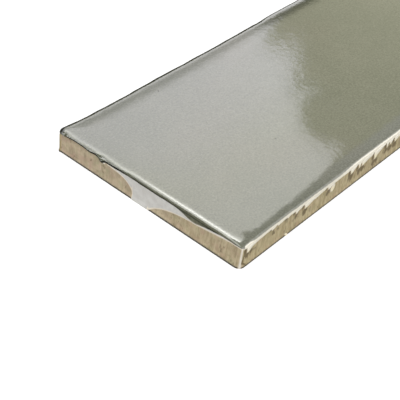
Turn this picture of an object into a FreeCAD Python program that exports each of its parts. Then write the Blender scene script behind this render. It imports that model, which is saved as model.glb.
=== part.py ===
import FreeCAD, Part
import math
import os
import Sketcher

# A pressed wall tile with a handmade look, in one fired piece. It lies on its back, glazed face up.
# The origin is the centre of the back, +X runs along the tile and +Z points out of the glazed face.

Vector = FreeCAD.Vector

# Driving sizes, in millimetres, degrees or counts.
SIZES = [
    ("tile_length", 300.0, "length over the foot"),
    ("tile_width", 75.0, "width over the foot"),
    ("tile_thickness", 9.5, "back to the middle of the face"),
    ("foot_flare", 0.4, "how far the foot stands out past the wall"),
    ("foot_height", 2.0, "height of the flared foot"),
    ("corner_round", 1.6, "plan radius of the wall's four corners"),
    ("rim_sway", 0.3, "how far the rim's outline wanders in and out"),
    ("sway_length", 47.0, "length of one wave of the rim's outline"),
    ("edge_roll", 1.1, "radius of the rolled rim of the face"),
    ("pillow_drop", 0.45, "how far the face sinks towards its rim"),
    ("pillow_reach", 4.5, "how far in from the rim the sinking fades"),
    ("swell_height", 0.05, "height of the long swells of the face"),
    ("swell_length", 118.0, "length of one long swell"),
    ("hollow_depth", 0.13, "depth of the soft hollows of the face"),
    ("hollow_reach", 14.0, "reach of a hollow from its middle"),
    ("key_depth", 0.7, "depth of the keys pressed into the back"),
    ("key_draft", 30.0, "slope of a key's walls from upright"),
    ("key_round", 2.0, "plan radius of a key's corners"),
    ("back_margin", 5.0, "flat rim of the back around the keys"),
    ("key_rib", 3.0, "width of the rib between two keys"),
    ("keys_along", 12, "keys along the tile, even so that a rib crosses its middle"),
    ("keys_across", 3, "keys across the tile"),
]

# Sizes worked out from the driving ones.
DERIVED = [
    ("wall_length", "tile_length - 2 * foot_flare"),
    ("wall_width", "tile_width - 2 * foot_flare"),
    ("blank_height", "tile_thickness + edge_roll + swell_height"),
    ("key_pitch_along", "(tile_length - 2 * back_margin + key_rib) / keys_along"),
    ("key_pitch_across", "(tile_width - 2 * back_margin + key_rib) / keys_across"),
    ("key_length", "key_pitch_along - key_rib"),
    ("key_width", "key_pitch_across - key_rib"),
]

# The face is drawn through points that lie close together by the rim and wider apart inside.
RIM_STEPS_IN_REACH = 4
STEPS_IN_HOLLOW = 2
STEP_GROWTH = 1.4
# How far the swells run aslant.
SWELL_SKEW = 0.35
# Where the hollows lie, as shares of the half length and the half width.
HOLLOWS = [(-0.51, -0.46), (0.4, 0.37), (0.75, -0.32), (0.05, -0.43)]
# The rim's outline is drawn through this many points in each of its waves.
POINTS_IN_SWAY = 8


def make_sheet(doc):
    """The sizes as a sheet: name, value and meaning in one row each."""
    sheet = doc.addObject("Spreadsheet::Sheet", "sizes")
    row = 1
    for alias, value, meaning in SIZES:
        sheet.set("A%d" % row, alias)
        sheet.set("B%d" % row, str(value))
        sheet.set("C%d" % row, meaning)
        sheet.setAlias("B%d" % row, alias)
        row += 1
    for alias, formula in DERIVED:
        sheet.set("A%d" % row, alias)
        sheet.set("B%d" % row, "=" + formula)
        sheet.setAlias("B%d" % row, alias)
        row += 1
    doc.recompute()
    return sheet


def origin_part(body, role):
    """The body's own origin plane or axis with this role."""
    for feature in body.Origin.OriginFeatures:
        if feature.Role == role:
            return feature
    raise ValueError("no origin feature " + role)


def rounded_rectangle(body, name, length_from, width_from, round_from, height_from=None):
    """A sketch of a rectangle with round corners, centred on the origin, its sizes bound to the sheet."""
    sketch = body.newObject("Sketcher::SketchObject", name)
    sketch.AttachmentSupport = [(origin_part(body, "XY_Plane"), "")]
    sketch.MapMode = "FlatFace"
    if height_from:
        sketch.setExpression("AttachmentOffset.Base.z", height_from)

    half_long, half_wide, radius = 20.0, 10.0, 2.0
    inner_long = half_long - radius
    inner_wide = half_wide - radius
    up = Vector(0, 0, 1)
    corners = [(inner_long, inner_wide, 0), (-inner_long, inner_wide, 1),
               (-inner_long, -inner_wide, 2), (inner_long, -inner_wide, 3)]
    arcs = []
    for x, y, quarter in corners:
        start = quarter * math.pi / 2
        circle = Part.Circle(Vector(x, y, 0), up, radius)
        arcs.append(sketch.addGeometry(Part.ArcOfCircle(circle, start, start + math.pi / 2)))
    lines = []
    for this_arc, next_arc in zip(arcs, arcs[1:] + arcs[:1]):
        start = sketch.Geometry[this_arc].EndPoint
        end = sketch.Geometry[next_arc].StartPoint
        line = sketch.addGeometry(Part.LineSegment(start, end))
        sketch.addConstraint(Sketcher.Constraint("Tangent", this_arc, 2, line, 1))
        sketch.addConstraint(Sketcher.Constraint("Tangent", line, 2, next_arc, 1))
        lines.append(line)
    for arc in arcs[1:]:
        sketch.addConstraint(Sketcher.Constraint("Equal", arcs[0], arc))
    top, left, bottom, right = lines
    for line in (top, bottom):
        sketch.addConstraint(Sketcher.Constraint("Horizontal", line))
    for line in (left, right):
        sketch.addConstraint(Sketcher.Constraint("Vertical", line))
    sketch.addConstraint(Sketcher.Constraint("Symmetric", arcs[0], 3, arcs[2], 3, -1, 1))
    round_at = sketch.addConstraint(Sketcher.Constraint("Radius", arcs[0], radius))
    long_at = sketch.addConstraint(Sketcher.Constraint("DistanceX", left, 1, right, 1, 2 * half_long))
    wide_at = sketch.addConstraint(Sketcher.Constraint("DistanceY", bottom, 1, top, 1, 2 * half_wide))
    sketch.setExpression("Constraints[%d]" % round_at, round_from)
    sketch.setExpression("Constraints[%d]" % long_at, length_from)
    sketch.setExpression("Constraints[%d]" % wide_at, width_from)
    return sketch


def make_foot(doc):
    """The flared foot, with the keys pressed into its back."""
    body = doc.addObject("PartDesign::Body", "foot_body")
    foot_line = rounded_rectangle(body, "foot_line", "sizes.tile_length", "sizes.tile_width",
                                  "sizes.corner_round + sizes.foot_flare")
    wall_line = rounded_rectangle(body, "wall_line", "sizes.wall_length", "sizes.wall_width",
                                  "sizes.corner_round", height_from="sizes.foot_height")
    foot = body.newObject("PartDesign::AdditiveLoft", "foot")
    foot.Profile = foot_line
    foot.Sections = [wall_line]
    foot.Ruled = True

    key_line = rounded_rectangle(body, "key_line", "sizes.key_length", "sizes.key_width",
                                 "sizes.key_round")
    key_line.setExpression("AttachmentOffset.Base.x",
                           "sizes.back_margin + (sizes.key_length - sizes.tile_length) / 2")
    key_line.setExpression("AttachmentOffset.Base.y",
                           "sizes.back_margin + (sizes.key_width - sizes.tile_width) / 2")
    key = body.newObject("PartDesign::Pocket", "key")
    key.Profile = key_line
    key.Reversed = True
    key.setExpression("Length", "sizes.key_depth")
    key.setExpression("TaperAngle", "-sizes.key_draft")
    doc.recompute()

    keys = body.newObject("PartDesign::LinearPattern", "keys")
    keys.Originals = [key]
    keys.Direction = (origin_part(body, "X_Axis"), [""])
    keys.Mode = "Spacing"
    keys.setExpression("Offset", "sizes.key_pitch_along")
    keys.setExpression("Occurrences", "sizes.keys_along")
    keys.Direction2 = (origin_part(body, "Y_Axis"), [""])
    keys.Mode2 = "Spacing"
    keys.setExpression("Offset2", "sizes.key_pitch_across")
    keys.setExpression("Occurrences2", "sizes.keys_across")
    body.Tip = keys
    doc.recompute()
    # Every gap of the second direction follows the one spacing, none has a value of its own.
    keys.Spacings2 = [-1.0] * (keys.Occurrences2 - 1)
    doc.recompute()
    return body


def side_line(sheet, half_span, half_other, turn):
    """One side of the rim's outline: a straight line that sways in and out and ends straight."""
    count = max(4, round(POINTS_IN_SWAY * 2 * half_span / sheet.sway_length))
    points = []
    for number in range(count + 1):
        share = 2 * number / count - 1
        wave = math.sin(2 * math.pi * half_span * share / sheet.sway_length + turn)
        sway = sheet.rim_sway * wave * (1 - share ** 2) ** 2
        points.append(Vector(half_span * share, -half_other + sway, sheet.blank_height))
    curve = Part.BSplineCurve()
    ahead = Vector(1, 0, 0)
    curve.interpolate(Points=points, InitialTangent=ahead, FinalTangent=ahead)
    return curve.toShape()


def rim_outline(sheet):
    """The outline at the wall's top: four swaying sides joined by four round corners."""
    radius = sheet.corner_round
    half_long = sheet.wall_length / 2
    half_wide = sheet.wall_width / 2
    edges = []
    for turn, (half_span, half_other) in enumerate([(half_long, half_wide), (half_wide, half_long)] * 2):
        side = side_line(sheet, half_span - radius, half_other, turn)
        centre = Vector(half_span - radius, radius - half_other, sheet.blank_height)
        corner = Part.ArcOfCircle(Part.Circle(centre, Vector(0, 0, 1), radius), -math.pi / 2, 0).toShape()
        for edge in (side, corner):
            edge.rotate(Vector(0, 0, 0), Vector(0, 0, 1), 90 * turn)
            edges.append(edge)
    return Part.Wire(edges)


def make_blank(doc, sheet):
    """The pressed blank: the foot, and above it the wall that rises to the swaying rim."""
    foot = make_foot(doc)
    rim_line = doc.addObject("Part::Feature", "rim_line")
    rim_line.Shape = rim_outline(sheet)
    wall = doc.addObject("Part::Loft", "wall")
    wall.Sections = [doc.getObject("wall_line"), rim_line]
    wall.Solid = True
    wall.Ruled = True
    blank = doc.addObject("Part::MultiFuse", "blank")
    blank.Shapes = [foot, wall]
    doc.recompute()
    return blank


def places(half_span, overhang, first_step, widest_step):
    """Places from past one rim to past the other, close together by the rims and wide apart between."""
    steps = [0.0]
    step = first_step
    while steps[-1] < half_span + overhang:
        steps.append(steps[-1] + step)
        step = min(step * STEP_GROWTH, widest_step)
    stretch = (half_span + overhang) / steps[-1]
    rising = [stretch * place - half_span - overhang for place in steps]
    return rising + [-place for place in reversed(rising[:-1])]


def face_height(sheet, x, y):
    """Height of the glazed face: level in the middle, sinking to its rim, with long swells and hollows."""
    inside_end = sheet.wall_length / 2 - abs(x)
    inside_side = sheet.wall_width / 2 - abs(y)
    pillow = sheet.pillow_drop * (math.exp(-inside_end / sheet.pillow_reach)
                                  + math.exp(-inside_side / sheet.pillow_reach))
    swell_turn = 2 * math.pi / sheet.swell_length
    swell = sheet.swell_height * math.sin(swell_turn * (x + SWELL_SKEW * y)) * math.cos(swell_turn * y)
    hollow = 0.0
    for along, across in HOLLOWS:
        away = math.hypot(x - along * sheet.wall_length / 2, y - across * sheet.wall_width / 2)
        hollow += sheet.hollow_depth * math.exp(-(away / sheet.hollow_reach) ** 2)
    return sheet.tile_thickness - pillow + swell - hollow


def make_air(doc, sheet):
    """The space over the wavy face, as a solid that trims the blank."""
    overhang = 2 * (sheet.edge_roll + sheet.rim_sway)
    first_step = sheet.pillow_reach / RIM_STEPS_IN_REACH
    widest_step = sheet.hollow_reach / STEPS_IN_HOLLOW
    along = places(sheet.wall_length / 2, overhang, first_step, widest_step)
    across = places(sheet.wall_width / 2, overhang, first_step, widest_step)
    grid = [[Vector(x, y, face_height(sheet, x, y)) for y in across] for x in along]
    surface = Part.BSplineSurface()
    surface.interpolate(grid)
    air = doc.addObject("Part::Feature", "air")
    air.Shape = surface.toShape().extrude(Vector(0, 0, 2 * sheet.tile_thickness))
    return air


def rim_edges(shape):
    """Names of the edges round the face, which is the face that reaches highest."""
    face = max(shape.Faces, key=lambda each: each.CenterOfMass.z)
    names = []
    for number, edge in enumerate(shape.Edges, start=1):
        if any(edge.isSame(other) for other in face.Edges):
            names.append("Edge%d" % number)
    return names


def make_tile(doc, sheet):
    """The tile: the blank, trimmed to its wavy face, with the rim of that face rolled over."""
    trimmed = doc.addObject("Part::Cut", "trimmed")
    trimmed.Base = make_blank(doc, sheet)
    trimmed.Tool = make_air(doc, sheet)
    doc.recompute()

    tile = doc.addObject("PartDesign::Body", "tile_body")
    tile.Label = "tile"
    tile.BaseFeature = trimmed
    doc.recompute()
    rim = tile.newObject("PartDesign::Fillet", "rolled_rim")
    rim.Base = (tile.Group[0], rim_edges(trimmed.Shape))
    rim.setExpression("Radius", "sizes.edge_roll")
    tile.Tip = rim
    doc.recompute()
    return tile


def check(doc, parts):
    """Stop before anything is written if an object failed or a part isn't one valid solid."""
    for each in doc.Objects:
        if "Invalid" in each.State or "Error" in each.State:
            raise ValueError("%s failed: %s" % (each.Label, each.State))
    for part in parts:
        shape = part.Shape
        if shape.isNull() or not shape.isValid() or len(shape.Solids) != 1:
            raise ValueError("%s isn't one valid solid" % part.Label)
    pressed_out = doc.getObject("foot").Shape.Volume - doc.getObject("keys").Shape.Volume
    if pressed_out <= 0:
        raise ValueError("the keys cut nothing from the back")


def main():
    doc = FreeCAD.newDocument("subway_wall_tile")
    sheet = make_sheet(doc)
    parts = [make_tile(doc, sheet)]
    check(doc, parts)
    os.makedirs("parts", exist_ok=True)
    for part in parts:
        part.Shape.exportStep("parts/%s.step" % part.Label)
        box = part.Shape.BoundBox
        print(part.Label, "volume", round(part.Shape.Volume, 1), "faces", len(part.Shape.Faces),
              "size", round(box.XLength, 3), round(box.YLength, 3), round(box.ZLength, 3))


main()
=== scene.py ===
import math

import bmesh
import bpy
import numpy as np
from mathutils import Matrix, Vector


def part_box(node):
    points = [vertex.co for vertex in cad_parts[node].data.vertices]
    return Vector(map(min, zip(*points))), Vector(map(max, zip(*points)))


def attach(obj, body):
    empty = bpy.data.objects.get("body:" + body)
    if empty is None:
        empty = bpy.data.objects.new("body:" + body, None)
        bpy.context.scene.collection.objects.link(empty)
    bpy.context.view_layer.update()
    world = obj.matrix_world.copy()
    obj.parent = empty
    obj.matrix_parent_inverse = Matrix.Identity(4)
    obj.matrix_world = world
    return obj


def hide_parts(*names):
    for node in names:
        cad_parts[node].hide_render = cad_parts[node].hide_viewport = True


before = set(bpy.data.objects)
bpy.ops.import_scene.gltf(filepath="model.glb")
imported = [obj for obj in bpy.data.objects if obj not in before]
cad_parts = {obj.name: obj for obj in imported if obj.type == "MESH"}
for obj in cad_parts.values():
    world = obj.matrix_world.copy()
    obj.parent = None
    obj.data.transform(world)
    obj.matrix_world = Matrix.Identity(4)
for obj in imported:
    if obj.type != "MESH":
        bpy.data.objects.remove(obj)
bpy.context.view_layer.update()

MM = 0.001

# The tile's own sizes, in metres. The overall ones come from its solid.
LOWEST, HIGHEST = (np.array(corner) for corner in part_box("tile"))
LENGTH, WIDTH, THICKNESS = HIGHEST - LOWEST
FLARE = 0.4 * MM
FOOT_TOP = 2.0 * MM
WALL_END = LENGTH / 2 - FLARE
WALL_SIDE = WIDTH / 2 - FLARE
HALF_SIZES = np.array((WALL_END, WALL_SIDE))

# Radii of the four upright corners: far right, far left, near left and near right.
WALL_CORNERS = np.array((0.8, 0.8, 0.4, 0.5)) * MM
FOOT_CORNERS = np.array((1.5, 1.5, 0.3, 1.9)) * MM
GLAZE_CORNERS = np.array((1.4, 1.4, 1.2, 0.9)) * MM

# The face: its middle height, how it sinks towards its rim, how the near left corner is lifted, and
# how wide the strip by the rim is whose mesh follows the outline.
FACE_TOP = 9.5 * MM
PILLOW_DROP = 0.45 * MM
PILLOW_REACH = 4.5 * MM
CORNER_LIFT = 0.35 * MM
CORNER_REACH = 3.5 * MM
STRIP = 9.0 * MM

# The glaze's lower lip on the wall, and how thick glaze and slip stand on the clay.
LIP_HEIGHT = 7.6 * MM
LIP_ROUND = 0.13 * MM
LIP_SWELL = 0.05 * MM
GLAZE_THICK = 0.2 * MM
SLIP_THICK = 0.12 * MM

# The clay: how far it goes on behind the lip, the bevel under its foot, and half the width of the thread
# of slip on its near right upright edge.
CLAY_ABOVE_LIP = 0.25 * MM
FOOT_BEVEL = 0.05 * MM
ARRIS_THREAD = 0.26 * MM

# How the keys of the back are laid out.
KEYS_ALONG, KEYS_ACROSS = 12, 3
BACK_MARGIN = 5.0 * MM
KEY_RIB = 3.0 * MM
KEY_DEPTH = 0.7 * MM
KEY_ROUND = 2.0 * MM
KEY_SLOPE = math.tan(math.radians(30))
BLOCK_END = LENGTH / 2 - BACK_MARGIN + KEY_RIB / 2
BLOCK_SIDE = WIDTH / 2 - BACK_MARGIN + KEY_RIB / 2

# Inside, the clay's pieces end at this height, over the keys.
INSIDE_TOP = 0.9 * MM

# What the clay's attributes are where nothing covers or marks it and no shade is painted on it.
BARE_CLAY = {"slip": -3.0, "shade": 0.0, "dragged": 0.0, "contact_shade": 0.0}

# Steps of the meshes: on one side of a key, round a quarter corner, and along and across each piece.
# Points of a piece that lie closer together than the last length become one.
STEPS_PER_KEY = 42
CORNER_STEPS = 10
GLAZE_STEPS = (440, 126)
WALL_STEPS = (640, 150)
MERGE_REACH = 0.002 * MM

# The tile's sides. Each corner has the number of the side that ends at it.
RIGHT, FAR, LEFT, NEAR = range(4)
NEAR_LEFT, NEAR_RIGHT = LEFT, NEAR


def smooth(low, high, value):
    """Zero below low, one above high, and 3t^2 - 2t^3 between."""
    share = np.clip((value - low) / (high - low), 0, 1)
    return share * share * (3 - 2 * share)


def spread(share):
    """Shares that lie closer together towards the near end: 0.4t + 0.6t^2."""
    return 0.4 * share + 0.6 * share ** 2


def hump(place, centre, reach):
    """A bell curve, one at its centre: exp(-((place - centre) / reach)^2)."""
    return np.exp(-((place - centre) / reach) ** 2)


class Rim:
    """The closed line round the tile, counter-clockwise from the near right corner.

    Each straight side has its number of steps, on the long sides closer together near, and each corner
    is a quarter arc. Every step has its share of the way to the wall in x and y, the outward normal, the
    point of an inner rectangle that faces it, its side and its nearest corner. All steps of a corner
    face the rectangle's one corner.
    """

    def __init__(self, inner_end, inner_side, steps_along, steps_across):
        shares, normals, sides, nearest = [], [], [], []
        corners = np.array([(1, -1), (1, 1), (-1, 1), (-1, -1)], float)
        outwards = np.array([(0, -1), (1, 0), (0, 1), (-1, 0)], float)
        for side, outward in enumerate(outwards):
            start, end = corners[side - 1], corners[side]
            steps = steps_along if side in (RIGHT, LEFT) else steps_across
            part = np.arange(steps + 1) / steps
            if side == RIGHT:
                part = spread(part)
            if side == LEFT:
                part = 1 - spread(1 - part)
            shares.append(start + (end - start) * part[:, None])
            normals.append(np.repeat(outward[None], steps + 1, axis=0))
            nearest.append(np.where(part < 0.5, (side - 1) % 4, side))
            turn = math.atan2(outward[1], outward[0])
            angle = turn + np.arange(1, CORNER_STEPS) / CORNER_STEPS * math.pi / 2
            shares.append(np.repeat(end[None], CORNER_STEPS - 1, axis=0))
            normals.append(np.stack([np.cos(angle), np.sin(angle)], axis=1))
            nearest.append(np.full(CORNER_STEPS - 1, side))
            sides.append(np.full(steps + CORNER_STEPS, side))
        self.share = np.concatenate(shares)
        self.normal = np.concatenate(normals)
        self.corner = np.concatenate(nearest)
        self.side = np.concatenate(sides)
        self.count = len(self.side)
        self.inner = self.share * np.array((inner_end, inner_side))
        wall = self.edge(self.each(WALL_CORNERS))
        gap = np.linalg.norm(wall - np.roll(wall, 1, axis=0), axis=1)
        self.around = gap.sum()
        self.run = np.cumsum(gap) - gap[0]
        self.past_left = WALL_SIDE - wall[:, 1]
        self.past_near = wall[:, 0] + WALL_END

    def each(self, corners):
        """The value of each step's nearest corner."""
        return corners[self.corner]

    def edge(self, radius, outward=0.0):
        """The wall's line with each step's corner radius, moved outwards."""
        line = self.share * (HALF_SIZES - radius[:, None]) + self.normal * radius[:, None]
        return line + self.normal * np.broadcast_to(outward, self.count)[:, None]

    def waves(self, seed, longest, count, height):
        """A sum of sines round the rim with random phases, each shorter and lower than the last."""
        random = np.random.default_rng(seed)
        total = np.zeros_like(self.run)
        for number in range(count):
            length = longest / 1.6 ** number * random.uniform(0.85, 1.15)
            turns = max(1, round(self.around / length))
            phase = random.uniform(0, 2 * math.pi)
            total += 0.72 ** number * np.sin(2 * math.pi * turns * self.run / self.around + phase)
        return height * total / (0.72 ** np.arange(count)).sum()

    def on(self, side, values):
        """The values on one side, and zero on the others."""
        return np.where(self.side == side, values, 0.0)


def from_near_left(rim):
    """How far each step of the near and left sides lies from the near left corner, and far elsewhere."""
    place = np.where(rim.side == NEAR, rim.past_left, np.where(rim.side == LEFT, rim.past_near, LENGTH))
    return np.maximum(place, 0)


def stand_out(rim):
    """How far foot, wall and glaze all stand out: left by the near left corner, and a little all along near.

    The left share fades exponentially. Round the corner the two turn into each other with the normal.
    """
    left_out = 0.65 * np.exp(-from_near_left(rim) / (6 * MM)) * np.maximum(rim.normal[:, 1], 0)
    near_out = 0.1 * np.maximum(-rim.normal[:, 0], 0)
    return (left_out + near_out) * MM


def upright(rim):
    """The share of the foot's flare that the wall keeps, by the near left corner."""
    return 0.5 * np.exp(-from_near_left(rim) / (7 * MM))


def outline_bow(rim):
    """How far the wall's top wanders outwards: waves all round, a pinch, ripples and a step on the left."""
    bow = rim.waves(11, 60 * MM, 6, 0.1 * MM)
    left, near = rim.past_near / MM, rim.past_left / MM
    pinch = 0.15 * hump(left, 0, 7) - 0.2 * hump(left, 28, 12) - 0.28 * hump(left, 72, 20)
    ripple = 0.07 * np.sin(left / 1.9) * np.sin(left / 7.3)
    bow += rim.on(LEFT, (pinch + ripple - 0.15 * hump(left, 100, 2.2) + 0.05 * smooth(100, 104, left)) * MM)
    bow += rim.on(NEAR, (0.1 - 0.25 * smooth(10, 75, near)) * MM)
    return bow


def roll_radius(rim):
    """Radius of the glaze's rolled edge: wide on the left up to its step, and tight near.

    Round the near left corner the wide radius turns into the tight one with the outward normal.
    """
    left = rim.past_near / MM
    round_corner = (rim.side == LEFT) & (rim.corner == NEAR_LEFT)
    turned = np.where(round_corner, np.maximum(-rim.normal[:, 0], 0), 0)
    radius = np.full(rim.count, 1.25)
    radius += rim.on(LEFT, 0.55 - 0.7 * smooth(98, 106, left) - turned)
    radius -= rim.on(NEAR, 0.45)
    radius -= rim.on(RIGHT, 0.2 * smooth(52, 42, left))
    radius += rim.on(NEAR, 0.5 * np.exp(-(2 * WALL_SIDE - rim.past_left) / (3 * MM)))
    radius += 0.2 * np.exp(-from_near_left(rim) / (2.5 * MM))
    return radius * MM


def sagged(rim):
    """The share of the glaze's sag: one along the left part of the near side, fading out at both ends."""
    return rim.on(NEAR, smooth(0.3 * MM, 2.5 * MM, rim.past_left) * smooth(31 * MM, 26 * MM, rim.past_left))


def roll_fall(rim):
    """How much taller than wide the glaze's roll is: a little near, and three times where it sagged."""
    return 1 + rim.on(NEAR, 0.15) + 2 * sagged(rim)


def lip_height(rim):
    """Height of the glaze's lower lip: a level line with waves, and near a slope, bell-shaped runs and
    a deep wedge."""
    height = LIP_HEIGHT + rim.waves(23, 25 * MM, 6, 0.12 * MM) + rim.waves(57, 5.5 * MM, 4, 0.07 * MM)
    near = rim.past_left / MM
    rise = 0.9 * smooth(10, 75, near) - 0.4
    runs = 1.1 * hump(near, 17.5, 1.15) + 0.15 * hump(near, 21, 1.2)
    runs -= 0.5 * hump(near, 5.5, 6.5) + 0.35 * hump(near, 14.9, 1.3)
    runs -= 0.25 * hump(near, 30, 3) - 0.1 * hump(near, 50, 3) + 0.1 * sagged(rim)
    wedge = 1.7 * hump(near, 55.8, 3.9) + 0.55 * hump(near, 62.0, 3.8)
    return height + rim.on(NEAR, (rise - runs - wedge) * MM)


# The slip's drips on the right wall, in millimetres: how far along the tip is, how long the drip hangs,
# and how far it fades out beyond the tip.
DRIPS = [(2.5, 2.3, 2.2), (14.0, 0.7, 1.2), (17.2, 0.5, 1.0), (21.7, 0.6, 1.0), (26.1, 1.2, 1.4),
         (30.7, 2.1, 4.6), (43.0, 1.4, 1.6), (55.8, 2.3, 1.7), (60.4, 2.3, 1.2), (62.2, 2.2, 3.8),
         (69.6, 3.6, 2.7), (76.8, 2.4, 1.5), (78.6, 2.2, 1.2), (81.6, 2.5, 2.5)]
DRIP_SPACING = 5.5


def more_drips(seed, start, end):
    """Drips like those of DRIPS along a stretch, each about one spacing from the last."""
    random = np.random.default_rng(seed)
    count = int((end - start) / DRIP_SPACING)
    places = start + (np.arange(count) + random.uniform(0.2, 0.8, count)) * DRIP_SPACING
    return list(zip(places, 0.5 + 2.8 * random.random(count) ** 1.4, random.uniform(1.0, 3.6, count)))


RIGHT_DRIPS = DRIPS + more_drips(3, 86, 2 * WALL_END / MM - 2)
LEFT_DRIPS = more_drips(7, 4, 2 * WALL_END / MM - 4)


def drip_depth(place, drips):
    """How far the drips hang at each place: a notch and a steep rise before each tip, a slow fade beyond.

    Each drip is two exponentials that meet at its tip, less a small bell just before it.
    """
    depth = np.zeros_like(place)
    for tip, length, run in drips:
        past = place / MM - tip
        tooth = np.where(past < 0, np.exp(np.minimum(past, 0) / 0.22), np.exp(-np.maximum(past, 0) / run))
        depth = np.maximum(depth, length * MM * tooth)
        depth = depth - 0.3 * length * MM * hump(past, -0.6, 0.35)
    return depth


def side_drips(rim):
    """The depth of the drips round the rim. The two short sides have none."""
    right = drip_depth(rim.past_near, RIGHT_DRIPS)
    left = drip_depth(rim.past_near, LEFT_DRIPS)
    return rim.on(RIGHT, right) + rim.on(LEFT, 0.8 * left)


def slip_level(rim):
    """Height of the slip's edge on the long walls without its drips: nearly level, wavy."""
    return 7.3 * MM + rim.waves(31, 9 * MM, 5, 0.22 * MM)


def slip_height(rim):
    """Height of the slip's lower edge: just under the lip, with drips, and a sag to the foot near.

    The sag's left side is a quarter of a squared-off ellipse, and its right side rises exponentially.
    Where the wall is dry, the edge is lifted behind the lip.
    """
    edge = lip_height(rim) - 0.3 * MM
    level = slip_level(rim) - side_drips(rim)
    edge = np.where((rim.side == RIGHT) | (rim.side == LEFT), np.minimum(edge, level), edge)
    near = rim.past_left / MM
    left_arc = 6.8 * (1 - np.clip((near - 19) / 12.7, 0, 1) ** 2.6) ** (1 / 2.6)
    right_rise = 6.4 * (1 - np.exp(-np.clip(near - 38, 0, None) / 7)) + 0.11 * np.clip(near - 57.5, 0, None)
    sag = np.where(near < 31.7, left_arc, np.where(near < 38, -4.0, right_rise)) * MM
    edge = np.where((rim.side == NEAR) & (near > 19), np.minimum(edge, sag), edge)
    dry = np.where(rim.side == NEAR, smooth(21, 17, near), smooth(6, 3, from_near_left(rim) / MM))
    return edge + 1.2 * MM * dry


def arris_cover(rim, radius):
    """How far inside the thread of slip each step lies that ran down the near right upright edge.

    The distance from the edge's middle is the arc's length, and on the straights the way along them.
    """
    turn = np.arcsin(np.abs(rim.normal).min(axis=1))
    arc = math.pi / 2 * WALL_CORNERS[NEAR_RIGHT]
    straight = np.where(rim.side == RIGHT, rim.run, np.maximum(rim.around - arc - rim.run, 0))
    away = (math.pi / 4 - turn) * radius + np.where(turn > 0.01, 0, straight)
    near_right = (rim.corner == NEAR_RIGHT) & ((rim.side == RIGHT) | (rim.side == NEAR))
    return np.where(near_right, ARRIS_THREAD - away, BARE_CLAY["slip"] * MM)


def pits_and_shade(rim, height):
    """How deep the wall is pitted at a height, and how much painted shade darkens it there: beside and under
    the tip of each drip, and by the arris.

    Each pit is a bell along the wall, times a bell up it whose middle lies below the drip's tip.
    """
    place, level, up = rim.past_near / MM, slip_level(rim) / MM, height / MM
    pit_shade = np.zeros(rim.count)
    for side, drips in ((RIGHT, RIGHT_DRIPS), (LEFT, LEFT_DRIPS)):
        for tip, length, _ in drips:
            beside = hump(place, tip - 0.8, 0.7) * hump(up, level - 0.4 * length, 0.6 + 0.6 * length)
            under = hump(place, tip + 0.5, 1.5) * hump(up, level - length - 1.1, 1.3)
            mark = min(1.0, 0.25 + 0.3 * length) * np.maximum(beside, under)
            pit_shade = np.maximum(pit_shade, np.where(rim.side == side, mark, 0))
    arris = hump(place, 1.0, 0.6) * smooth(0.5, 1.0, up) * smooth(4.4, 2.0, up)
    above = 0.55 * hump(place, 1.5, 0.8) * smooth(1.5, 3.0, up) * smooth(6.2, 5.2, up)
    drop = 0.8 * hump(place, 4.4, 0.7) * hump(up, 4.4, 1.1)
    chip = hump(place, 43.0, 0.5) * hump(up, 4.3, 0.6)
    return np.maximum(pit_shade, rim.on(RIGHT, np.maximum.reduce([arris, above, drop, chip])))


def white_patches(rim, height):
    """Where slip sits on the bare wall: a blob by the chip and a speck on the foot's edge on the right,
    and a fleck under the lip with a faint streak below it near. Each is a bell in both directions."""
    place, near, up = rim.past_near / MM, rim.past_left / MM, height / MM
    blob = hump(place, 45.6, 1.3) * hump(up, 5.6, 1.9)
    speck = hump(place, 20.9, 0.7) * hump(up, 0.5, 0.7)
    fleck = hump(near, 18.5, 0.8) * hump(up, 6.6, 0.4)
    streak = 0.36 * hump(near, 17.6, 0.6) * hump(up, 3.8, 2.2)
    return rim.on(RIGHT, np.maximum(blob, speck)) + rim.on(NEAR, np.maximum(fleck, streak))


def face_height(x, y):
    """Height of the face: level, sinking exponentially towards its rim, with crossing slow waves.

    A bell round the near left corner lifts the face there.
    """
    from_end = WALL_END - np.abs(x)
    from_side = WALL_SIDE - np.abs(y)
    pillow = PILLOW_DROP * (np.exp(-from_end / PILLOW_REACH) + np.exp(-from_side / PILLOW_REACH))
    raised = CORNER_LIFT * hump(x, -WALL_END, CORNER_REACH) * hump(y, WALL_SIDE, CORNER_REACH)
    return FACE_TOP - pillow + raised + face_swell(x / MM, y / MM) * MM


# The face's soft dents, in millimetres: how far along and across each lies, its reach and its depth.
DENTS = [(-76.0, -17.0, 10.0, 0.14), (60.0, 14.0, 19.0, 0.13),
         (112.0, -12.0, 15.0, 0.12), (8.0, -16.0, 17.0, 0.09)]


def face_swell(x, y):
    """Swells of the face in millimetres, at places in millimetres: crossing sines, less bell-shaped dents."""
    swell = 0.05 * np.sin(2 * math.pi * (x + 0.35 * y) / 118) * np.cos(2 * math.pi * y / 118)
    swell += 0.012 * np.sin(2 * math.pi * (x - y) / 41) * np.cos(2 * math.pi * 0.35 * x / 41)
    for along, across, reach, depth in DENTS:
        swell = swell - depth * hump(x, along, reach) * hump(y, across, reach)
    return swell


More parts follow.
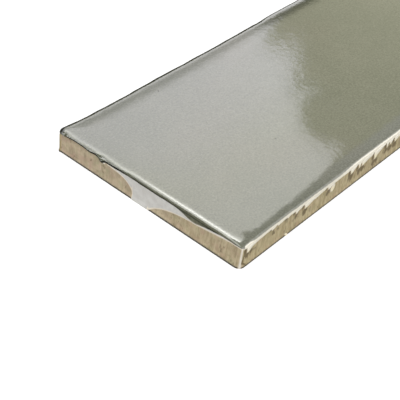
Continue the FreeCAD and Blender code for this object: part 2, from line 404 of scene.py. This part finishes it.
def make_piece(name, parts, material, values=None):
    """One mesh from parts, each an array of points and an array of faces, with doubles merged."""
    points = np.concatenate([part[0].reshape(-1, 3) for part in parts])
    faces, start = [], 0
    for part_points, part_faces in parts:
        faces += [[corner + start for corner in face] for face in part_faces]
        start += part_points.reshape(-1, 3).shape[0]
    mesh = bpy.data.meshes.new(name)
    mesh.from_pydata(points.tolist(), [], faces)
    for label, numbers in (values or {}).items():
        mesh.attributes.new(label, "FLOAT", "POINT").data.foreach_set("value", numbers.astype(np.float32))
    work = bmesh.new()
    work.from_mesh(mesh)
    bmesh.ops.remove_doubles(work, verts=work.verts, dist=MERGE_REACH)
    work.to_mesh(mesh)
    work.free()
    mesh.polygons.foreach_set("use_smooth", [True] * len(mesh.polygons))
    mesh.materials.append(material)
    piece = bpy.data.objects.new(name, mesh)
    bpy.context.scene.collection.objects.link(piece)
    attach(piece, "root")
    return piece


def grid_faces(rows, columns):
    """Faces of a grid of points whose second index runs along x and whose first runs along y."""
    corner = (np.arange(rows - 1)[:, None] * columns + np.arange(columns - 1)).ravel()
    return np.stack([corner, corner + 1, corner + columns + 1, corner + columns], axis=1).tolist()


def ring_faces(rows, count):
    """Faces between closed rings of points, facing out where each ring lies outside the one before."""
    this = np.arange(count)
    after = (this + 1) % count
    start = np.arange(rows - 1)[:, None] * count
    faces = np.stack([start + this, start + this + count, start + after + count, start + after], axis=2)
    return faces.reshape(-1, 4).tolist()


def last_ring_face(points, count):
    """One face across the last ring of points, turned the other way round."""
    return [list(range(len(points) - 1, len(points) - 1 - count, -1))]


def glaze_wall(rim):
    """The glaze's outermost line: the bowed wall, moved out by the glaze, twice as far where it sagged."""
    thick = GLAZE_THICK * (1 + sagged(rim))
    outward = outline_bow(rim) + stand_out(rim) + FLARE * upright(rim) + thick
    return rim.edge(rim.each(GLAZE_CORNERS), outward)


def glaze_rings(rim):
    """The glaze's rings from the face's grid over the roll to the lip, and how steep each of them lies.

    Over the strip each ring keeps its share of the way from the grid's edge to the wall, and then drops
    along a quarter ellipse that ends at the lip or, where the lip hangs lower, at the roll's own height.
    Below that it follows the wall, swelling out as a sine. Where the glaze sagged, it tucks in a little
    under its waist. It closes with part of an ellipse, and ends inside the clay. The steepness is 0 on
    the face, 1 at the end of the roll and 2 at the lip.
    """
    wall = glaze_wall(rim)
    roll = roll_radius(rim)
    lip = lip_height(rim) + LIP_ROUND
    tuck = sagged(rim) * (0.42 * MM + 0.022 * rim.past_left)
    fall = np.minimum(roll * roll_fall(rim), face_height(wall[:, 0], wall[:, 1]) - lip - tuck)
    steps = [(STRIP + (roll - STRIP) * share, 0.0) for share in np.arange(12) / 12]
    steps += [(roll * (1 - math.sin(turn)), 1 - math.cos(turn)) for turn in np.linspace(0, math.pi / 2, 11)]
    rings = []
    for inset, drop in steps:
        share = np.broadcast_to(inset / STRIP, rim.count)[:, None]
        flat = wall + (rim.inner - wall) * share
        rings.append((flat, face_height(flat[:, 0], flat[:, 1]) - fall * drop, drop))

    roll_end = rings[-1][1]
    waist = np.minimum(lip + tuck, roll_end - 0.02 * MM)
    swell = LIP_SWELL * rim.normal
    for share in (0.25, 0.5, 0.75, 1.0):
        flat = wall + swell * math.sin(share * math.pi / 2)
        rings.append((flat, roll_end + (waist - roll_end) * share, 1 + share))
    waist = rings[-1][1]
    for share in (0.4, 1.0):
        swell = swell - rim.normal * 0.12 * tuck[:, None]
        rings.append((wall + swell, waist - tuck * share, 2.0))
    lip = rings[-1][1]
    for turn in np.radians((40, 80, 125)):
        flat = wall + swell - rim.normal * LIP_ROUND * 1.4 * (1 - math.cos(turn))
        rings.append((flat, lip - LIP_ROUND * math.sin(turn), 2.0))
    rings.append((wall - rim.normal * (GLAZE_THICK + 0.5 * MM), lip, 2.0))
    points = np.concatenate([np.column_stack([flat, height]) for flat, height, _ in rings])
    return points, np.array([steep for _, _, steep in rings])[:, None]


def pool_shade_and_breaks(rim, steep):
    """How dark each ring of glaze is painted, partly for glaze that pooled and partly as painted shade and
    a painted dark reflection on the lower rim, and how much it breaks to the pale slip under it.

    Both are smooth steps of the steepness. On the right and far sides it breaks over the roll, sooner by
    the near corner and beyond 45 mm. On the left it is painted dark from the first fall on. Near it is
    painted dark from the roll's end on, later where it sagged, and elsewhere thinner towards the lip and
    most so at the wedge.
    """
    pale = np.isin(rim.side, (RIGHT, FAR))
    sooner = smooth(45 * MM, 60 * MM, rim.past_near) + smooth(5.5 * MM, 2.5 * MM, rim.past_near)
    breaks = np.where(pale, smooth(0.2 - 0.2 * sooner, 0.75 - 0.3 * sooner, steep), 0.0)
    wedge = hump(rim.past_left, 56 * MM, 5 * MM) * smooth(0.95, 1.3, steep)
    near = rim.on(NEAR, 1 - sagged(rim))
    thin = near * np.maximum(0.35 * smooth(1.1, 1.9, steep), wedge)
    start = 0.75 + 0.7 * sagged(rim)
    pool_and_shade = np.where(rim.side == LEFT, smooth(0.01, 0.1, steep), smooth(start, start + 0.25, steep))
    pool_and_shade = np.where(pale, 0.0, pool_and_shade * (1 - thin))
    return pool_and_shade, breaks + near * (0.35 * smooth(1.8, 2.0, steep) + 0.16 * wedge)


def glaze_coat(material):
    """The glazed face with its rolled rim and the lip that sags over the wall.

    Inside, the face is a level grid lifted to face_height. The rings go on from the grid's edge.
    """
    rim = Rim(WALL_END - STRIP, WALL_SIDE - STRIP, *GLAZE_STEPS)
    xs = (2 * spread(np.linspace(0, 1, GLAZE_STEPS[0] + 1)) - 1) * (WALL_END - STRIP)
    ys = np.linspace(-1, 1, GLAZE_STEPS[1] + 1) * (WALL_SIDE - STRIP)
    x, y = np.meshgrid(xs, ys)
    face = np.stack([x, y, face_height(x, y)], axis=2)
    strip, steep = glaze_rings(rim)
    strip_faces = ring_faces(len(steep), rim.count) + last_ring_face(strip, rim.count)
    pool_and_shade, breaks = pool_shade_and_breaks(rim, steep)
    inside = np.zeros(x.size)
    values = {"pool_and_shade": np.concatenate([inside, pool_and_shade.ravel()]),
              "breaks": np.concatenate([inside, breaks.ravel()])}
    parts = [(face, grid_faces(GLAZE_STEPS[1] + 1, GLAZE_STEPS[0] + 1)), (strip, strip_faces)]
    return make_piece("glaze_coat", parts, material, values)


def square_loop(steps_along, steps_across):
    """Points round a square of half size one, counter-clockwise from its lower left corner."""
    along, across = (np.arange(steps) / steps * 2 - 1 for steps in (steps_along, steps_across))
    side_along, side_across = np.ones(steps_along), np.ones(steps_across)
    return np.concatenate([np.column_stack([along, -side_along]), np.column_stack([side_across, across]),
                           np.column_stack([-along, side_along]), np.column_stack([-side_across, -across])])


def key_cells():
    """The back's keys, all at once: rings from a cell's square edge to its mouth and down to its floor.

    A ring point is the cell's edge point drawn in to the ring's half sizes, and near a corner moved
    onto the arc of the ring's own radius.
    """
    pitch = np.array([(LENGTH - 2 * BACK_MARGIN + KEY_RIB) / KEYS_ALONG,
                      (WIDTH - 2 * BACK_MARGIN + KEY_RIB) / KEYS_ACROSS])
    square = square_loop(STEPS_PER_KEY, STEPS_PER_KEY)
    soft = 0.18 * MM
    slope = KEY_DEPTH * KEY_SLOPE
    rings = [(0.0, 0.0), (KEY_RIB / 2 - soft, 0.0), (KEY_RIB / 2, 0.2 * soft),
             (KEY_RIB / 2 + soft, soft), (KEY_RIB / 2 + slope, KEY_DEPTH - 0.5 * soft),
             (KEY_RIB / 2 + slope + soft, KEY_DEPTH), (KEY_RIB / 2 + 3 * MM, KEY_DEPTH)]
    cell = []
    for inset, height in rings:
        half = pitch / 2 - inset
        radius = 0.0 if inset == 0 else KEY_ROUND
        core = np.clip(square * half, -(half - radius), half - radius)
        away = square * half - core
        length = np.linalg.norm(away, axis=1, keepdims=True)
        unit = away / np.where(length > 0, length, 1)
        flat = core + unit * np.minimum(length, radius)
        cell.append(np.column_stack([flat, np.full(len(flat), height)]))
    cell = np.stack(cell)
    across, along = np.meshgrid(np.arange(KEYS_ACROSS), np.arange(KEYS_ALONG), indexing="ij")
    centres = np.column_stack([(along.ravel() - (KEYS_ALONG - 1) / 2) * pitch[0],
                               (across.ravel() - (KEYS_ACROSS - 1) / 2) * pitch[1],
                               np.zeros(KEYS_ALONG * KEYS_ACROSS)])
    points = cell[None] + centres[:, None, None]
    count = len(square)
    one = np.array(ring_faces(len(rings), count))
    floor = list(range((len(rings) - 1) * count, len(rings) * count))[::-1]
    faces = []
    for number in range(len(centres)):
        start = number * len(rings) * count
        faces += (one + start).tolist()
        faces.append([corner + start for corner in floor])
    return points.reshape(-1, 3), faces


def keyed_back(material):
    """The part of the back inside its flat rim: the keys, closed over by a plate that stays inside."""
    loop = square_loop(KEYS_ALONG * STEPS_PER_KEY, KEYS_ACROSS * STEPS_PER_KEY) * (BLOCK_END, BLOCK_SIDE)
    rings = [np.column_stack([loop, np.full(len(loop), height)]) for height in (INSIDE_TOP, 0.0)]
    wall = np.concatenate(rings)
    faces = ring_faces(2, len(loop)) + [list(range(len(loop)))]
    cells, cell_faces = key_cells()
    values = {name: np.full(len(wall) + len(cells), value) for name, value in BARE_CLAY.items()}
    return make_piece("keyed_back", [(wall, faces), (cells, cell_faces)], material, values)


def clay_wall(material):
    """The fired clay's flared foot and wall, with the slip that ran down it, and the back's flat rim.

    The wall is the rim carried up the height. Its outward shift at a height is the foot's flare, which
    fades as a smooth step, plus the rim's bow times the height's share to the power 1.2, the drag marks
    and the slip's thickness, less the pits and the bevel under the foot. Its corners tighten from the
    foot's radii to the wall's, and widen to the glaze's by the lip.
    """
    rim = Rim(BLOCK_END, BLOCK_SIDE, *WALL_STEPS)
    bow = outline_bow(rim)
    slip = slip_height(rim)
    slope = np.gradient(slip, rim.run)
    marks = rim.waves(41, 7 * MM, 7, 0.05 * MM)
    thick = SLIP_THICK + 0.2 * MM * smooth(0, 1.5 * MM, side_drips(rim))
    long_side = np.isin(rim.side, (RIGHT, LEFT))
    dragged = np.where(long_side, 1.0, 0.45 * smooth(40 * MM, 55 * MM, rim.past_left))
    top = lip_height(rim) + CLAY_ABOVE_LIP
    none = np.zeros(rim.count)

    rings = [np.column_stack([rim.edge(rim.each(GLAZE_CORNERS), -0.5 * MM), top])]
    covers, shades, contact_shades = [none + 1.0], [none], [none]
    shares = np.concatenate([np.linspace(1, 0.075, 34), (0.05, 0.03, 0.012, 0.003)])
    for height in shares[:, None] * top:
        pit_shade = pits_and_shade(rim, height)
        foot = 1 - smooth(0.2 * MM, FOOT_TOP, height)
        radius = rim.each(WALL_CORNERS) + rim.each(FOOT_CORNERS - WALL_CORNERS) * foot
        radius += rim.each(GLAZE_CORNERS - WALL_CORNERS) * smooth(top - 1.2 * MM, top - 0.3 * MM, height)
        cover = (height - slip) / np.sqrt(1 + slope ** 2)
        cover = np.maximum(cover, (white_patches(rim, height) - 0.5) * 1.2 * MM)
        cover = np.maximum(cover, arris_cover(rim, radius))
        shift = FLARE * np.maximum(foot, upright(rim)) + bow * (height / THICKNESS) ** 1.2 + stand_out(rim)
        shift = shift - FOOT_BEVEL * (1 - smooth(0, 0.15 * MM, height))
        shift = shift + marks * smooth(0, 3 * MM, height) + thick * smooth(-0.1 * MM, 0.2 * MM, cover)
        shift = shift - 0.3 * MM * pit_shade
        rings.append(np.column_stack([rim.edge(radius, shift), height]))
        covers.append(cover / MM)
        # The same values paint shade into the clay's colour, beside and under the drips and by the arris.
        shades.append(pit_shade)
        # A painted shadow darkens the wall's lowest part, below about 0.85 mm, where it meets the floor.
        contact_shades.append(smooth(0.85 * MM, 0.45 * MM, height))
    sole = rim.edge(rim.each(FOOT_CORNERS), FLARE - FOOT_BEVEL + stand_out(rim))
    for share, height in ((0.06, 0.0), (0.5, 0.0), (1.0, 0.0), (1.0, INSIDE_TOP)):
        rings.append(np.column_stack([sole + (rim.inner - sole) * share, none + height]))
        covers.append(none + BARE_CLAY["slip"])
        shades.append(none)
        contact_shades.append(none)

    wall = np.concatenate(rings)
    faces = ring_faces(len(rings), rim.count) + [list(range(rim.count))] + last_ring_face(wall, rim.count)
    values = {"slip": np.concatenate(covers), "shade": np.concatenate(shades),
              "dragged": np.tile(dragged, len(rings)), "contact_shade": np.concatenate(contact_shades)}
    return make_piece("clay_wall", [(wall, faces)], material, values)


class Nodes:
    """A short way to write the nodes of a material or of the surroundings."""

    def __init__(self, owner):
        self.owner = owner
        owner.use_nodes = True
        self.tree = owner.node_tree
        self.tree.nodes.clear()

    def add(self, kind, settings=None, **inputs):
        """A new node. An input's name has underscores for its spaces."""
        node = self.tree.nodes.new(kind)
        for key, value in (settings or {}).items():
            setattr(node, key, value)
        for key, value in inputs.items():
            self.put(node, key.replace("_", " "), value)
        return node

    def put(self, node, key, value):
        """Gives an input, by its name or its number, a link or a constant."""
        socket = node.inputs[int(key)] if key.isdigit() else node.inputs[key]
        if isinstance(value, bpy.types.NodeSocket):
            self.tree.links.new(value, socket)
        else:
            socket.default_value = value

    def math(self, operation, first, second):
        """One step of arithmetic on two numbers, by the name of the operation."""
        node = self.add("ShaderNodeMath", {"operation": operation})
        self.put(node, "0", first)
        self.put(node, "1", second)
        return node.outputs[0]

    def plus(self, first, second):
        return self.math("ADD", first, second)

    def minus(self, first, second):
        return self.math("SUBTRACT", first, second)

    def times(self, first, second):
        return self.math("MULTIPLY", first, second)

    def between(self, value, low, high):
        """A smooth step from low to high."""
        node = self.add("ShaderNodeMapRange", {"interpolation_type": "SMOOTHSTEP"})
        self.put(node, "Value", value)
        self.put(node, "From Min", low)
        self.put(node, "From Max", high)
        return node.outputs["Result"]

    def noise(self, place, scale, detail=3.0, rough=0.5):
        """Noise about 0.5 with this many finer layers, each of which weighs that much of the last."""
        node = self.add("ShaderNodeTexNoise", Vector=place, Scale=scale, Detail=detail, Roughness=rough)
        return node.outputs["Fac"]

    def stretched(self, place, scale):
        """The place times a scale for each direction, for noise that is longer one way."""
        return self.add("ShaderNodeMapping", Vector=place, Scale=scale).outputs[0]

    def mix(self, share, first, second):
        """The first colour at a share of zero, and the second at one."""
        node = self.add("ShaderNodeMix", {"data_type": "RGBA"})
        self.put(node, "0", share)
        self.put(node, "6", first)
        self.put(node, "7", second)
        return node.outputs[2]

    def tint(self, base, colour, share, amount=1.0):
        """The base colour, turned towards another one by a share times an amount."""
        return self.mix(self.times(share, amount), base, colour)

    def value_of(self, name):
        """The mesh's own values of that name."""
        return self.add("ShaderNodeAttribute", {"attribute_name": name}).outputs["Fac"]

    def place(self):
        """Where each spot lies, in the piece's own metres."""
        return self.add("ShaderNodeTexCoord").outputs["Object"]

    def finish(self, **inputs):
        """The material, ended in one shader with these inputs."""
        shader = self.add("ShaderNodeBsdfPrincipled")
        for key, value in inputs.items():
            self.put(shader, key.replace("_", " "), value)
        self.add("ShaderNodeOutputMaterial", Surface=shader.outputs[0])
        return self.owner


# Pinholes in the glaze, in millimetres: how far along and across each lies, and its reach.
SPECKS = [(-111.3, 30.8, 0.5), (-102.3, -12.2, 0.35), (-147.3, 3.8, 0.3), (-130.3, -4.2, 0.3)]


def olive_glaze():
    """Glossy grey-olive glaze: faint clouding, pale where it breaks on the rim, and dark on the lower rim,
    partly pooled glaze and partly painted shade and a painted dark reflection.
    """
    nodes = Nodes(bpy.data.materials.new("olive_glaze"))
    place = nodes.place()
    cloud = nodes.noise(place, 60.0, 4.0, 0.6)
    fleck = nodes.noise(place, 1500.0, 2.0, 0.7)
    wide = nodes.noise(place, 22.0, 3.0, 0.6)
    base = nodes.mix(nodes.between(cloud, 0.3, 0.7), (0.112, 0.120, 0.078, 1), (0.142, 0.146, 0.100, 1))
    base = nodes.tint(base, (0.145, 0.138, 0.095, 1), nodes.between(wide, 0.45, 0.7), 0.7)
    base = nodes.tint(base, (0.20, 0.20, 0.15, 1), nodes.between(fleck, 0.50, 0.68), 0.6)
    base = nodes.tint(base, (0.07, 0.073, 0.05, 1), nodes.between(fleck, 0.50, 0.32), 0.6)
    uneven = nodes.times(nodes.minus(nodes.noise(place, 900.0), 0.5), 0.3)
    breaks = nodes.plus(nodes.value_of("breaks"), uneven)
    base = nodes.tint(base, (0.89, 0.84, 0.71, 1), nodes.between(breaks, 0.12, 0.88))
    # Dark on the lower rim: pooled glaze, together with painted shade and a painted dark reflection.
    base = nodes.tint(base, (0.028, 0.030, 0.022, 1), nodes.value_of("pool_and_shade"))
    ripple = nodes.noise(place, 330.0, 4.0, 0.62)
    for along, across, reach in SPECKS:
        gap = nodes.add("ShaderNodeVectorMath", {"operation": "DISTANCE"})
        nodes.put(gap, "0", place)
        nodes.put(gap, "1", (along * MM, across * MM, FACE_TOP))
        pinhole = nodes.between(gap.outputs["Value"], reach * MM, 0.3 * reach * MM)
        base = nodes.tint(base, (0.02, 0.02, 0.012, 1), pinhole)
        ripple = nodes.minus(ripple, nodes.times(pinhole, 8.0))
    bump = nodes.add("ShaderNodeBump", Strength=0.12, Distance=0.0002, Height=ripple)
    return nodes.finish(Base_Color=base, Roughness=0.05, IOR=1.52, Normal=bump.outputs[0])


def fired_clay():
    """Beige fired clay with drag marks, pinkish mottling and brown blotches, painted shade under the drips
    and along the foot, and the white slip that ran over it, painted brighter on the long walls as painted
    light and with a painted highlight along its edge.
    """
    nodes = Nodes(bpy.data.materials.new("fired_clay"))
    place = nodes.place()
    dragged = nodes.value_of("dragged")
    mottle = nodes.noise(place, 300.0, 4.0, 0.6)
    patches = nodes.noise(place, 410.0, 2.0, 0.5)
    drag = nodes.noise(nodes.stretched(place, (1050, 1050, 130)), 1.0, 4.0, 0.7)
    grain = nodes.noise(place, 4200.0, 3.0, 0.7)
    clay = nodes.mix(nodes.between(mottle, 0.33, 0.66), (0.36, 0.285, 0.185, 1), (0.50, 0.41, 0.27, 1))
    clay = nodes.tint(clay, (0.46, 0.31, 0.23, 1), nodes.between(patches, 0.52, 0.7), 0.6)
    clay = nodes.tint(clay, (0.36, 0.34, 0.20, 1), nodes.between(patches, 0.46, 0.3), 0.6)
    streaks = nodes.plus(nodes.times(dragged, 0.65), 0.2)
    clay = nodes.tint(clay, (0.58, 0.51, 0.34, 1), nodes.between(drag, 0.51, 0.61), streaks)
    clay = nodes.tint(clay, (0.19, 0.145, 0.075, 1), nodes.between(drag, 0.49, 0.38), streaks)
    clay = nodes.tint(clay, (0.375, 0.305, 0.125, 1), dragged, 0.45)
    # Dark brown: painted shade beside and under the drips and by the arris, joined with random brown
    # blotches.
    blotch = nodes.noise(nodes.stretched(place, (620, 620, 330)), 1.0, 3.0, 0.6)
    uneven = nodes.plus(nodes.times(drag, 0.7), nodes.times(blotch, 2.3))
    pit_shade = nodes.plus(nodes.value_of("shade"), nodes.minus(uneven, 1.5))
    clay = nodes.tint(clay, (0.15, 0.112, 0.05, 1), nodes.between(pit_shade, 0.15, 0.6))
    # Painted shadow along the foot, where the clay meets the floor.
    clay = nodes.tint(clay, (0.035, 0.03, 0.018, 1), nodes.value_of("contact_shade"))

    ragged = nodes.plus(nodes.value_of("slip"), nodes.times(nodes.minus(grain, 0.5), 0.25))
    white = nodes.mix(nodes.between(nodes.noise(place, 400.0, 3.0, 0.6), 0.3, 0.7),
                      (0.59, 0.575, 0.54, 1), (0.69, 0.68, 0.645, 1))
    # Where the clay is dragged, mostly on the long walls, the slip is painted far brighter than near: painted
    # light on the same slip, with a creamier tone that turns yellower low down.
    low = nodes.between(nodes.add("ShaderNodeSeparateXYZ", Vector=place).outputs[2], 7.2 * MM, 5.4 * MM)
    painted_lit_cream = nodes.mix(low, (0.94, 0.89, 0.76, 1), (0.95, 0.87, 0.62, 1))
    slip = nodes.mix(nodes.between(dragged, 0.3, 1.0), white, painted_lit_cream)
    colour = nodes.mix(nodes.between(ragged, -0.05, 0.12), clay, slip)
    # A pale band along the slip's edge, on the slip and on the clay beside it: a painted highlight on the
    # slip's raised edge.
    edge = nodes.times(nodes.between(ragged, -0.35, 0.0), nodes.between(ragged, 0.5, 0.2))
    colour = nodes.tint(colour, (0.85, 0.77, 0.63, 1), edge, nodes.minus(0.8, nodes.times(dragged, 0.5)))
    shine = nodes.add("ShaderNodeMapRange", Value=nodes.between(ragged, 0.0, 0.2), To_Min=0.85, To_Max=0.35)
    height = nodes.plus(nodes.times(grain, 0.4), nodes.times(drag, streaks))
    bump = nodes.add("ShaderNodeBump", Strength=0.5, Distance=0.00025, Height=height)
    return nodes.finish(Base_Color=colour, Roughness=shine.outputs[0], Normal=bump.outputs[0])


# Where the camera stands, which way it looks and how it is rolled, and its focal length and the picture's
# width in pixels.
CAMERA_PLACE = (-0.3470, -0.1605, 0.2206)
CAMERA_AHEAD = (0.6219, 0.4435, -0.6455)
CAMERA_ROLL = -8.01
FOCAL_PIXELS = 1100.0
PICTURE = 400.0


def pale_floor():
    """A white matt floor, with a little light of its own for the camera so that it reads as white."""
    nodes = Nodes(bpy.data.materials.new("pale_floor"))
    seen = nodes.add("ShaderNodeLightPath").outputs["Is Camera Ray"]
    colour = nodes.add("ShaderNodeBsdfDiffuse", Color=(0.80, 0.80, 0.80, 1))
    glow = nodes.add("ShaderNodeEmission", Color=(1, 1, 1, 1), Strength=nodes.times(seen, 0.5))
    both = nodes.add("ShaderNodeAddShader")
    nodes.put(both, "0", colour.outputs[0])
    nodes.put(both, "1", glow.outputs[0])
    nodes.add("ShaderNodeOutputMaterial", Surface=both.outputs[0])
    return nodes.owner


def make_floor():
    """A square of level ground under the tile, which the glaze doesn't mirror."""
    mesh = bpy.data.meshes.new("floor")
    reach = 6.0
    mesh.from_pydata([(-reach, -reach, 0), (reach, -reach, 0), (reach, reach, 0), (-reach, reach, 0)], [],
                     [(0, 1, 2, 3)])
    mesh.materials.append(pale_floor())
    floor = bpy.data.objects.new("floor", mesh)
    bpy.context.scene.collection.objects.link(floor)
    floor.visible_glossy = False


def light_card(name, points, glows, colours=(1.0, 1.0, 1.0)):
    """A card that only mirrors see: a grid of points, each with its own strength and colour of light."""
    rows, columns = len(points), len(points[0])
    mesh = bpy.data.meshes.new(name)
    mesh.from_pydata(np.reshape(points, (-1, 3)).tolist(), [], grid_faces(rows, columns))
    light = np.reshape(glows, (-1, 1)) * np.reshape(colours, (-1, 3))
    mesh.attributes.new("light", "FLOAT_VECTOR", "POINT").data.foreach_set("vector", light.ravel())
    nodes = Nodes(bpy.data.materials.new(name))
    light = nodes.add("ShaderNodeAttribute", {"attribute_name": "light"}).outputs["Color"]
    glow = nodes.add("ShaderNodeEmission", Color=light, Strength=1.0)
    nodes.add("ShaderNodeOutputMaterial", Surface=glow.outputs[0])
    mesh.materials.append(nodes.owner)
    card = bpy.data.objects.new(name, mesh)
    bpy.context.scene.collection.objects.link(card)
    card.visible_camera = False
    card.visible_diffuse = False
    card.visible_shadow = False


# The far edge of the window that the face mirrors: how far to the left and how far along, in metres.
WINDOW_EDGE = np.array([(0.200, 0.560), (0.285, 0.597), (0.311, 0.625), (0.340, 0.639), (0.377, 0.647),
                        (0.400, 0.650), (0.428, 0.697), (0.445, 0.718), (0.463, 0.716), (0.475, 0.727),
                        (0.499, 0.759), (0.523, 0.791), (0.551, 0.793), (0.568, 0.785), (0.591, 0.804),
                        (0.62, 0.838), (0.69, 0.894)])


def ceiling_card():
    """The lights over the tile as its face mirrors them, on a level plane.

    Along x: a bright bank over the near rim with its brightest strip, a cool window over the near half
    of the face, and a dim warm wall beyond its far edge, which is drawn point by point. Along y: dim,
    then those, a dark gap, and a far bright wall. The bank's side towards the camera leans.
    """
    bank, strip, window = (-0.95, -0.50, -0.10), (0.05, 0.20), (0.29, 0.33, 0.365, 0.40, 0.43, 0.50)
    by_edge, beyond = (-0.045, -0.010, 0.020), (1.0, 2.70)
    ends = np.array(bank + strip + window + by_edge + beyond)
    follows = np.isin(ends, by_edge)
    sides = np.concatenate([(-0.20, 0.26, 0.272), WINDOW_EDGE[2:, 0], (0.735, 0.77, 1.02, 1.10)])
    edge = np.interp(sides, WINDOW_EDGE[:, 0], WINDOW_EDGE[:, 1])
    x = ends + follows * edge[:, None]
    y = np.repeat(sides[:, None], len(ends), axis=1)
    lean = 0.26 * (np.clip(x[1:3], 0.25, 0.60) - 0.60) + 0.012
    y[1:3] += lean + 0.05 * hump(x[1:3], 0.338, 0.034)

    # How bright each column is in the rows over the face, and in the gap beside them.
    brightest = np.interp(sides, (0.33, 0.355, 0.375, 0.39, 0.42, 0.52, 0.58, 0.64),
                          (18.0, 17.0, 14.5, 10.5, 9.0, 8.5, 6.5, 4.5))[:, None]
    fixed = np.concatenate([np.interp(window, (0.29, 0.50), (5.2, 5.0)), (4.9, 4.3, 1.8), (2.0, 2.0)])
    over_face = np.hstack([np.minimum((8.0, 9.0, 10.0), 0.8 * brightest), np.tile(brightest, len(strip)),
                           np.tile(fixed, (len(sides), 1))])
    in_gap = np.concatenate([np.full(len(bank + strip + window), 2.2), (2.2, 2.0, 0.2), (0.0, 0.0)])

    # Which rows are which. In the dim ones the columns by the edge count as lying round 0.6 m along.
    bounds = ((-0.25, 0.265), (0.265, 0.65), (0.65, 0.75), (0.75, 1.05))
    dim, faced, gap, far_wall = (((sides > low) & (sides < high))[:, None] for low, high in bounds)
    level = faced * (1 - 0.06 * smooth(0.48, 0.60, sides))[:, None]
    shadow = 1.5 + 0.5 * smooth(0.45, 0.7, ends + follows * 0.6)
    glows = level * over_face + far_wall * 4.0 + gap * in_gap + dim * shadow

    # Beyond the window's edge the light is warm. Elsewhere it is cool, and more so to the left.
    warm = (faced & np.isin(ends, by_edge[2:] + beyond))[..., None]
    leftward = np.clip((y - 0.28) / 0.3, 0, 1)[..., None]
    cool = np.array((0.97, 0.97, 0.925)) + leftward * np.array((0.0, -0.01, 0.07))
    cool = cool - hump(y, 0.41, 0.05)[..., None] * np.array((0, 0, 0.04))
    colours = (1 - warm) * cool + warm * np.array((1.0, 0.99, 0.74))
    light_card("ceiling_card", np.stack([x, y, np.full_like(x, 0.62)], axis=2), glows, colours)


def side_card():
    """A soft wall of light on the tile's right, which its right rim mirrors."""
    top, bottom = (-0.21, 0.62), (-0.62, 0.05)
    points = [[(x, y, z) for x in (-0.6, 1.6)] for y, z in (top, (-0.27, 0.54), bottom)]
    light_card("side_card", points, [[1.2, 1.2], [3.6, 3.6], [4.0, 4.0]])


def near_card():
    """A standing wall of light before the near end, bright on the left, which the near rim mirrors."""
    places = (0.60, 0.70, 0.75, 0.775, 0.80, 0.85, 0.88, 0.91, 0.96, 1.02, 1.12, 1.19, 1.27)
    foot = (0.0, 0.0, 0.0, 0.0, 0.0, 0.0, 0.0, 0.0, 10.0, 9.5, 8.0, 6.0, 0.0)
    low = (1.0, 1.5, 2.5, 8.0, 9.0, 6.0, 7.5, 8.0, 10.0, 9.5, 8.0, 6.0, 0.0)
    high = (6.0, 6.5, 6.5, 7.5, 8.0, 6.5, 7.0, 6.0, 7.0, 6.0, 5.0, 4.5, 0.0)
    points = [[(-1.25, y, z) for y in places] for z in (0.04, 0.12, 0.62)]
    light_card("near_card", points, [foot, low, high])


def ground_card():
    """A bright sheet on the ground before the left half of the near end, seen low in the near rim.

    Its sides run the way that the camera's view of the rim bounces: each leaves the rim at a place along
    it and leans by the slope of the view there.
    """
    places = WIDTH / 2 - np.array((40.0, 31.0, 27.0, 5.0, 1.0)) * MM
    ends = np.array((-0.172, -0.30, -1.25))[:, None]
    slope = (places - CAMERA_PLACE[1]) / (-LENGTH / 2 - CAMERA_PLACE[0])
    y = places + slope * (-LENGTH / 2 - ends)
    points = np.stack([np.broadcast_to(ends, y.shape), y, np.full_like(y, 0.2 * MM)], axis=2)
    light_card("ground_card", points, np.tile((0.0, 3.0, 10.5, 8.5, 0.0), (len(ends), 1)))


def light_scene():
    """Plain pale surroundings, darker near the ground for mirrors, and one broad soft lamp."""
    world = bpy.data.worlds.new("surroundings")
    bpy.context.scene.world = world
    nodes = Nodes(world)
    way = nodes.add("ShaderNodeSeparateXYZ", Vector=nodes.add("ShaderNodeTexCoord").outputs["Generated"])
    path = nodes.add("ShaderNodeLightPath")
    mirrored = nodes.plus(nodes.times(nodes.between(way.outputs[2], 0.25, 0.5), 0.7), 0.03)
    seen = nodes.add("ShaderNodeMix", {"data_type": "FLOAT"})
    nodes.put(seen, "0", path.outputs["Is Glossy Ray"])
    nodes.put(seen, "2", 0.72)
    nodes.put(seen, "3", mirrored)
    strength = nodes.math("MAXIMUM", seen.outputs[0], path.outputs["Is Camera Ray"])
    sky = nodes.add("ShaderNodeBackground", Color=(1, 1, 1, 1), Strength=strength)
    nodes.add("ShaderNodeOutputWorld", Surface=sky.outputs[0])

    lamp = bpy.data.lights.new("soft_lamp", "AREA")
    lamp.shape = "DISK"
    lamp.size = 1.2
    lamp.energy = 9.0
    holder = bpy.data.objects.new("soft_lamp", lamp)
    holder.location = (-0.9, -0.8, 1.1)
    holder.rotation_euler = (-Vector(holder.location)).to_track_quat("-Z", "Y").to_euler()
    holder.visible_glossy = False
    bpy.context.scene.collection.objects.link(holder)
    ceiling_card()
    side_card()
    near_card()
    ground_card()


def make_camera():
    """The camera stands where the tile's square corners in the picture put it."""
    camera = bpy.data.cameras.new("camera")
    camera.sensor_width = 36.0
    camera.lens = FOCAL_PIXELS / PICTURE * camera.sensor_width
    camera.clip_start = 0.01
    ahead = Vector(CAMERA_AHEAD).normalized()
    level = ahead.cross(Vector((0, 0, 1))).normalized()
    down = ahead.cross(level)
    turn = math.radians(CAMERA_ROLL)
    right = level * math.cos(turn) + down * math.sin(turn)
    up = right.cross(ahead)
    place = Matrix((right, up, -ahead)).transposed().to_4x4()
    place.translation = CAMERA_PLACE
    holder = bpy.data.objects.new("camera", camera)
    holder.matrix_world = place
    bpy.context.scene.collection.objects.link(holder)
    bpy.context.scene.camera = holder


bpy.context.scene.view_settings.view_transform = "Standard"
clay = fired_clay()
for piece in (clay_wall(clay), keyed_back(clay), glaze_coat(olive_glaze())):
    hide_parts("tile")
make_floor()
light_scene()
make_camera()
